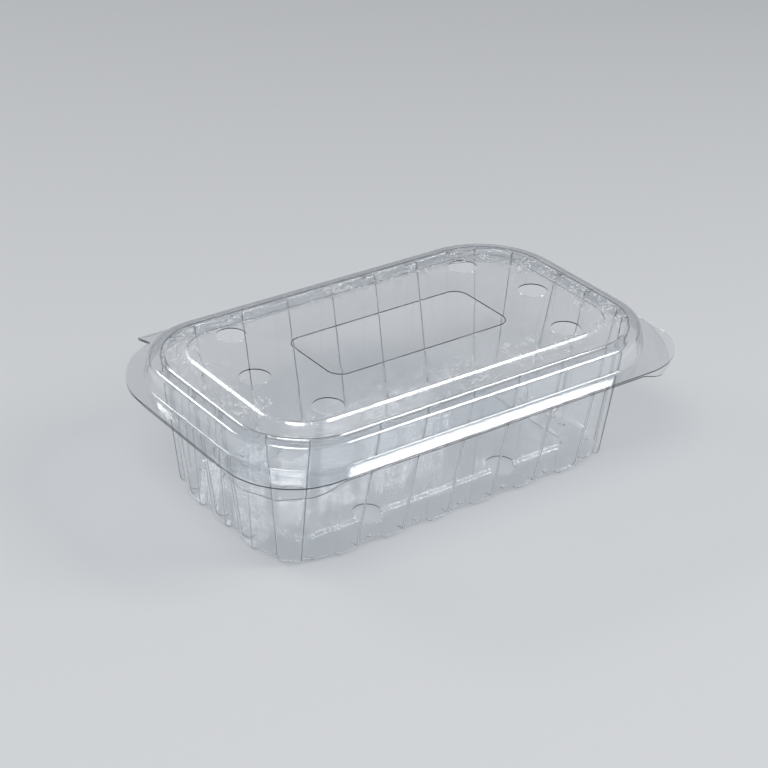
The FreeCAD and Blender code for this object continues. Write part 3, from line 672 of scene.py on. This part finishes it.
def lid_along(sheet, end_y):
    """Distances along the foot line of the lid's columns: even on each side, close together in
    the corners, and a pair at each end of the hinge strip."""
    knots = path_knots(sheet)
    steps = 2 * (38, 36, 14, 36)
    parts = [np.linspace(start, end, count + 1)[:-1]
             for start, end, count in zip(knots, knots[1:], steps)]
    return pinch(np.concatenate(parts), strip_ends(sheet, end_y))


def lid_patches(sheet, lid):
    """The lid's upper face: the section carried round the foot line, and the plateau with its
    vents and the raised outline, whose height is a smooth bump across the line's width."""
    at = levels_of(sheet)
    end_y = at["fold_y"] - at["fold_radius"] - sheet.gap
    rows = lid_rows(sheet, lid)
    number = rows[:, 2]
    along = lid_along(sheet, end_y)
    spine_x, spine_y, out_x, out_y = path_frame(along, sheet)
    reach = sheet.foot_corner + np.broadcast_to(rows[:, 0][:, None], (len(rows), len(along)))
    edge = flange_reach(along, sheet, end_y)
    share = np.clip(number - LID_FLANGE_CORNER, 0.0, 1.0)[:, None]
    skirt_foot = reach[number <= LID_FLANGE_CORNER][-1][None, :]
    reach = np.where(share > 0, skirt_foot + share * (edge[None, :] - skirt_foot), reach)
    x, y = spine_x + out_x * reach, spine_y + out_y * reach
    z = np.broadcast_to(rows[:, 1][:, None], x.shape)
    ring = np.stack([x, y, z], axis=-1)
    around = (ring.reshape(-1, 3), grid_faces(len(rows), len(along), True))
    holes = six_holes(lid.vent_ends, lid.vent_spread, lid.vent_reach, lid.vent_radius)
    middle = lid.label_bead / 2
    across, corner_steps = 7, 12
    lines = [rounded_loop(lid.label_length / 2 - middle + offset,
                          lid.label_width / 2 - middle + offset,
                          lid.label_corner - middle + offset, corner_steps)
             for offset in np.linspace(-middle, middle, across)]
    flat, flat_faces = flat_sheet(ring[0, :, :2], holes, lines)
    flat_x, flat_y = flat[:, 0], flat[:, 1]
    corner = lid.label_corner - middle
    off_x = abs(flat_x) - (lid.label_length / 2 - middle - corner)
    off_y = abs(flat_y) - (lid.label_width / 2 - middle - corner)
    away = (np.hypot(np.maximum(off_x, 0), np.maximum(off_y, 0))
            + np.minimum(np.maximum(off_x, off_y), 0) - corner)
    bump = lid.label_lift * smooth(1.0 - abs(away) / middle)
    plateau = (np.column_stack([flat, rows[0, 1] + bump]), flat_faces)
    return [around, plateau]


def lid_frost(places):
    """Frost on the lid: all along the ledge, and fading inward over the plateau."""
    band_fade = 0.6 * MM
    sheet, lid = bpy.context.scene.punnet_sheet, bpy.context.scene.punnet_lid
    inside = inset_from_foot(places, sheet)
    at = levels_of(sheet)
    edge = at["rim_edge"] + at["rise"] / math.cos(sheet.skirt_lean)
    band = edge - lid.band_width - lid.band_step
    ledge_inner = band - lid.ledge_width
    outer = smooth((inside + band) / band_fade)
    inner = smooth(1.0 - np.maximum(inside + ledge_inner, 0.0) / lid.frost_reach)
    return lid.frost_share * outer * inner * (places[:, 2] > sheet.rim_height)


# The finish

def add_node(tree, kind, **inputs):
    """A shader node with its sockets set by name, with spaces for underscores."""
    node = tree.nodes.new(kind)
    for key, value in inputs.items():
        node.inputs[key.replace("_", " ")].default_value = value
    return node


def combine(tree, operation, one, other):
    """The output of a math node that takes two outputs."""
    node = tree.nodes.new("ShaderNodeMath")
    node.operation = operation
    tree.links.new(one, node.inputs[0])
    tree.links.new(other, node.inputs[1])
    return node.outputs["Value"]


def clear_plastic():
    """Clear formed sheet: a glass-like body, faint waves from forming, and white specks where
    the sheet is frosted, thicker the more it is. A speck is the middle of a cell, kept where
    the cell's random number is under the frost. Lamps shine through, with a little lost at
    each face."""
    cloud_edges, speck_edges = (0.35, 0.62), (0.42, 0.24)
    finish = bpy.context.scene.punnet_plastic
    material = bpy.data.materials.new("formed_sheet")
    material.use_nodes = True
    tree = material.node_tree
    tree.nodes.clear()
    link = tree.links.new
    place = tree.nodes.new("ShaderNodeTexCoord").outputs["Object"]
    mask = tree.nodes.new("ShaderNodeAttribute")
    mask.attribute_name = "frost"
    grain = add_node(tree, "ShaderNodeTexVoronoi", Scale=1.0 / finish.grain)
    clouds = add_node(tree, "ShaderNodeTexNoise", Scale=finish.clouds, Detail=3.0, Roughness=0.6)
    waves = add_node(tree, "ShaderNodeTexNoise", Scale=finish.waves, Detail=1.0, Roughness=0.4)
    for texture in (grain, clouds, waves):
        link(place, texture.inputs["Vector"])
    uneven = add_node(tree, "ShaderNodeMapRange", From_Min=cloud_edges[0], From_Max=cloud_edges[1])
    link(clouds.outputs["Fac"], uneven.inputs["Value"])
    frosted = combine(tree, "MULTIPLY", mask.outputs["Fac"], uneven.outputs["Result"])
    rough = add_node(tree, "ShaderNodeMapRange", To_Min=finish.gloss, To_Max=finish.frost)
    link(frosted, rough.inputs["Value"])
    speck = add_node(tree, "ShaderNodeMapRange", From_Min=speck_edges[0], From_Max=speck_edges[1])
    link(grain.outputs["Distance"], speck.inputs["Value"])
    chance = combine(tree, "LESS_THAN", grain.outputs["Color"], frosted)
    specks = combine(tree, "MULTIPLY", speck.outputs["Result"], chance)
    clear = add_node(tree, "ShaderNodeMapRange", To_Min=1.0, To_Max=1.0 - finish.speck_cover)
    link(specks, clear.inputs["Value"])
    swell = add_node(tree, "ShaderNodeBump", Strength=finish.wave_strength,
                     Distance=finish.wave_relief)
    link(waves.outputs["Fac"], swell.inputs["Height"])
    bump = add_node(tree, "ShaderNodeBump", Distance=finish.grain_relief)
    link(frosted, bump.inputs["Strength"])
    link(specks, bump.inputs["Height"])
    link(swell.outputs["Normal"], bump.inputs["Normal"])
    body = add_node(tree, "ShaderNodeBsdfPrincipled", Base_Color=(*finish.tint, 1.0),
                    IOR=finish.refraction)
    link(clear.outputs["Result"], body.inputs["Transmission Weight"])
    link(rough.outputs["Result"], body.inputs["Roughness"])
    link(bump.outputs["Normal"], body.inputs["Normal"])
    shade = add_node(tree, "ShaderNodeBsdfTransparent", Color=(*finish.shade, 1.0))
    mix = tree.nodes.new("ShaderNodeMixShader")
    rays = tree.nodes.new("ShaderNodeLightPath")
    link(rays.outputs["Is Shadow Ray"], mix.inputs["Fac"])
    link(body.outputs["BSDF"], mix.inputs[1])
    link(shade.outputs["BSDF"], mix.inputs[2])
    out = tree.nodes.new("ShaderNodeOutputMaterial")
    link(mix.outputs["Shader"], out.inputs["Surface"])
    return material


def sheet_material():
    """The clear sheet's material, made once."""
    return bpy.data.materials.get("formed_sheet") or clear_plastic()


# The stage

def floor_material(look):
    """Plain matt floor."""
    material = bpy.data.materials.new("floor_paint")
    material.use_nodes = True
    body = material.node_tree.nodes["Principled BSDF"]
    body.inputs["Base Color"].default_value = (*look.floor, 1.0)
    body.inputs["Roughness"].default_value = look.floor_roughness
    body.inputs["Specular IOR Level"].default_value = look.floor_gloss
    return material


def add_lamp(name, place, size, power):
    """A soft lamp that looks at the middle of the punnet."""
    lamp = bpy.data.lights.new(name, "AREA")
    lamp.shape = "RECTANGLE"
    lamp.size, lamp.size_y = size
    lamp.energy = power
    item = bpy.data.objects.new(name, lamp)
    aim = Vector(LAMP_AIM) - Vector(place)
    item.rotation_euler = aim.to_track_quat("-Z", "Y").to_euler()
    item.location = place
    bpy.context.scene.collection.objects.link(item)


def add_camera(look):
    """The camera at the photograph's angle."""
    frame_width, nearest = 36.0, 0.01
    bearing, rise, roll = look.camera_bearing, look.camera_rise, look.camera_roll
    back = Vector((math.sin(bearing) * math.cos(rise), -math.cos(bearing) * math.cos(rise),
                   math.sin(rise)))
    right = Vector((math.cos(bearing), math.sin(bearing), 0.0))
    up = back.cross(right)
    turned_right = right * math.cos(roll) + up * math.sin(roll)
    turned_up = up * math.cos(roll) - right * math.sin(roll)
    turn = Matrix((turned_right, turned_up, back)).transposed().to_4x4()
    data = bpy.data.cameras.new("camera")
    data.sensor_fit = "HORIZONTAL"
    data.sensor_width = frame_width
    data.lens = look.camera_lens
    data.clip_start = nearest
    camera = bpy.data.objects.new("camera", data)
    camera.matrix_world = Matrix.Translation(look.camera_place) @ turn
    bpy.context.scene.collection.objects.link(camera)
    bpy.context.scene.camera = camera


# Operators

class PUNNET_OT_stage(bpy.types.Operator):
    """Make the floor, the lamps, the world and the camera"""
    bl_idname = "punnet.stage"
    bl_label = "Stage"

    def execute(self, context):
        look = context.scene.punnet_stage
        scene = context.scene
        scene.view_settings.view_transform = "Standard"
        half = look.floor_reach
        mesh = bpy.data.meshes.new("floor")
        mesh.from_pydata([(-half, -half, 0), (half, -half, 0), (half, half, 0), (-half, half, 0)],
                         [], [(0, 1, 2, 3)])
        floor = bpy.data.objects.new("floor", mesh)
        floor.data.materials.append(floor_material(look))
        scene.collection.objects.link(floor)
        world = bpy.data.worlds.new("sky")
        scene.world = world
        world.use_nodes = True
        world.node_tree.nodes["Background"].inputs["Color"].default_value = (*look.sky, 1.0)
        for lamp in LAMPS:
            add_lamp(*lamp)
        add_camera(look)
        return {"FINISHED"}


class PUNNET_OT_tray(bpy.types.Operator):
    """Make the tray: drained floor, fluted walls, rim, flange with bent ears, and the fold"""
    bl_idname = "punnet.tray"
    bl_label = "Tray"

    def execute(self, context):
        sheet, tray = context.scene.punnet_sheet, context.scene.punnet_tray
        piece = shell("tray_shell", tray_patches(sheet, tray), sheet.gauge, tray_frost)
        finish_piece(piece, "tray")
        return {"FINISHED"}


class PUNNET_OT_lid(bpy.types.Operator):
    """Make the lid: vented plateau with its raised outline, ledge, skirt, flange with ears"""
    bl_idname = "punnet.lid"
    bl_label = "Lid"

    def execute(self, context):
        sheet, lid = context.scene.punnet_sheet, context.scene.punnet_lid
        piece = shell("lid_shell", lid_patches(sheet, lid), sheet.gauge, lid_frost)
        finish_piece(piece, "lid")
        return {"FINISHED"}


def finish_piece(piece, node):
    """The piece takes the clear finish, rides with its body and stands for its node. The
    floor's light passes it straight, because lamps already shine through it as shade."""
    piece.data.materials.append(sheet_material())
    piece.visible_diffuse = False
    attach(piece, node)
    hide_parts(node)


class PUNNET_PT_panel(bpy.types.Panel):
    """The steps that build the punnet"""
    bl_idname = "PUNNET_PT_panel"
    bl_label = "Punnet"
    bl_space_type = "VIEW_3D"
    bl_region_type = "UI"
    bl_category = "Punnet"

    def draw(self, context):
        for step in STEPS:
            self.layout.operator(step.bl_idname)


STEPS = (PUNNET_OT_stage, PUNNET_OT_tray, PUNNET_OT_lid)
GROUPS = {
    "punnet_sheet": SheetSizes, "punnet_tray": TraySizes, "punnet_lid": LidSizes,
    "punnet_plastic": PlasticFinish, "punnet_stage": StageLook,
}


def register():
    """Adds the sizes, the steps and the panel to Blender."""
    for group in GROUPS.values():
        bpy.utils.register_class(group)
    for step in STEPS + (PUNNET_PT_panel,):
        bpy.utils.register_class(step)
    for name, group in GROUPS.items():
        setattr(bpy.types.Scene, name, PointerProperty(type=group))


def unregister():
    """Takes them out again."""
    for name in GROUPS:
        delattr(bpy.types.Scene, name)
    for step in (PUNNET_PT_panel,) + STEPS:
        bpy.utils.unregister_class(step)
    for group in GROUPS.values():
        bpy.utils.unregister_class(group)


def main():
    """Registers the add-on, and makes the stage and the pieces."""
    register()
    bpy.ops.punnet.stage()
    bpy.ops.punnet.tray()
    bpy.ops.punnet.lid()


if __name__ == "__main__":
    main()
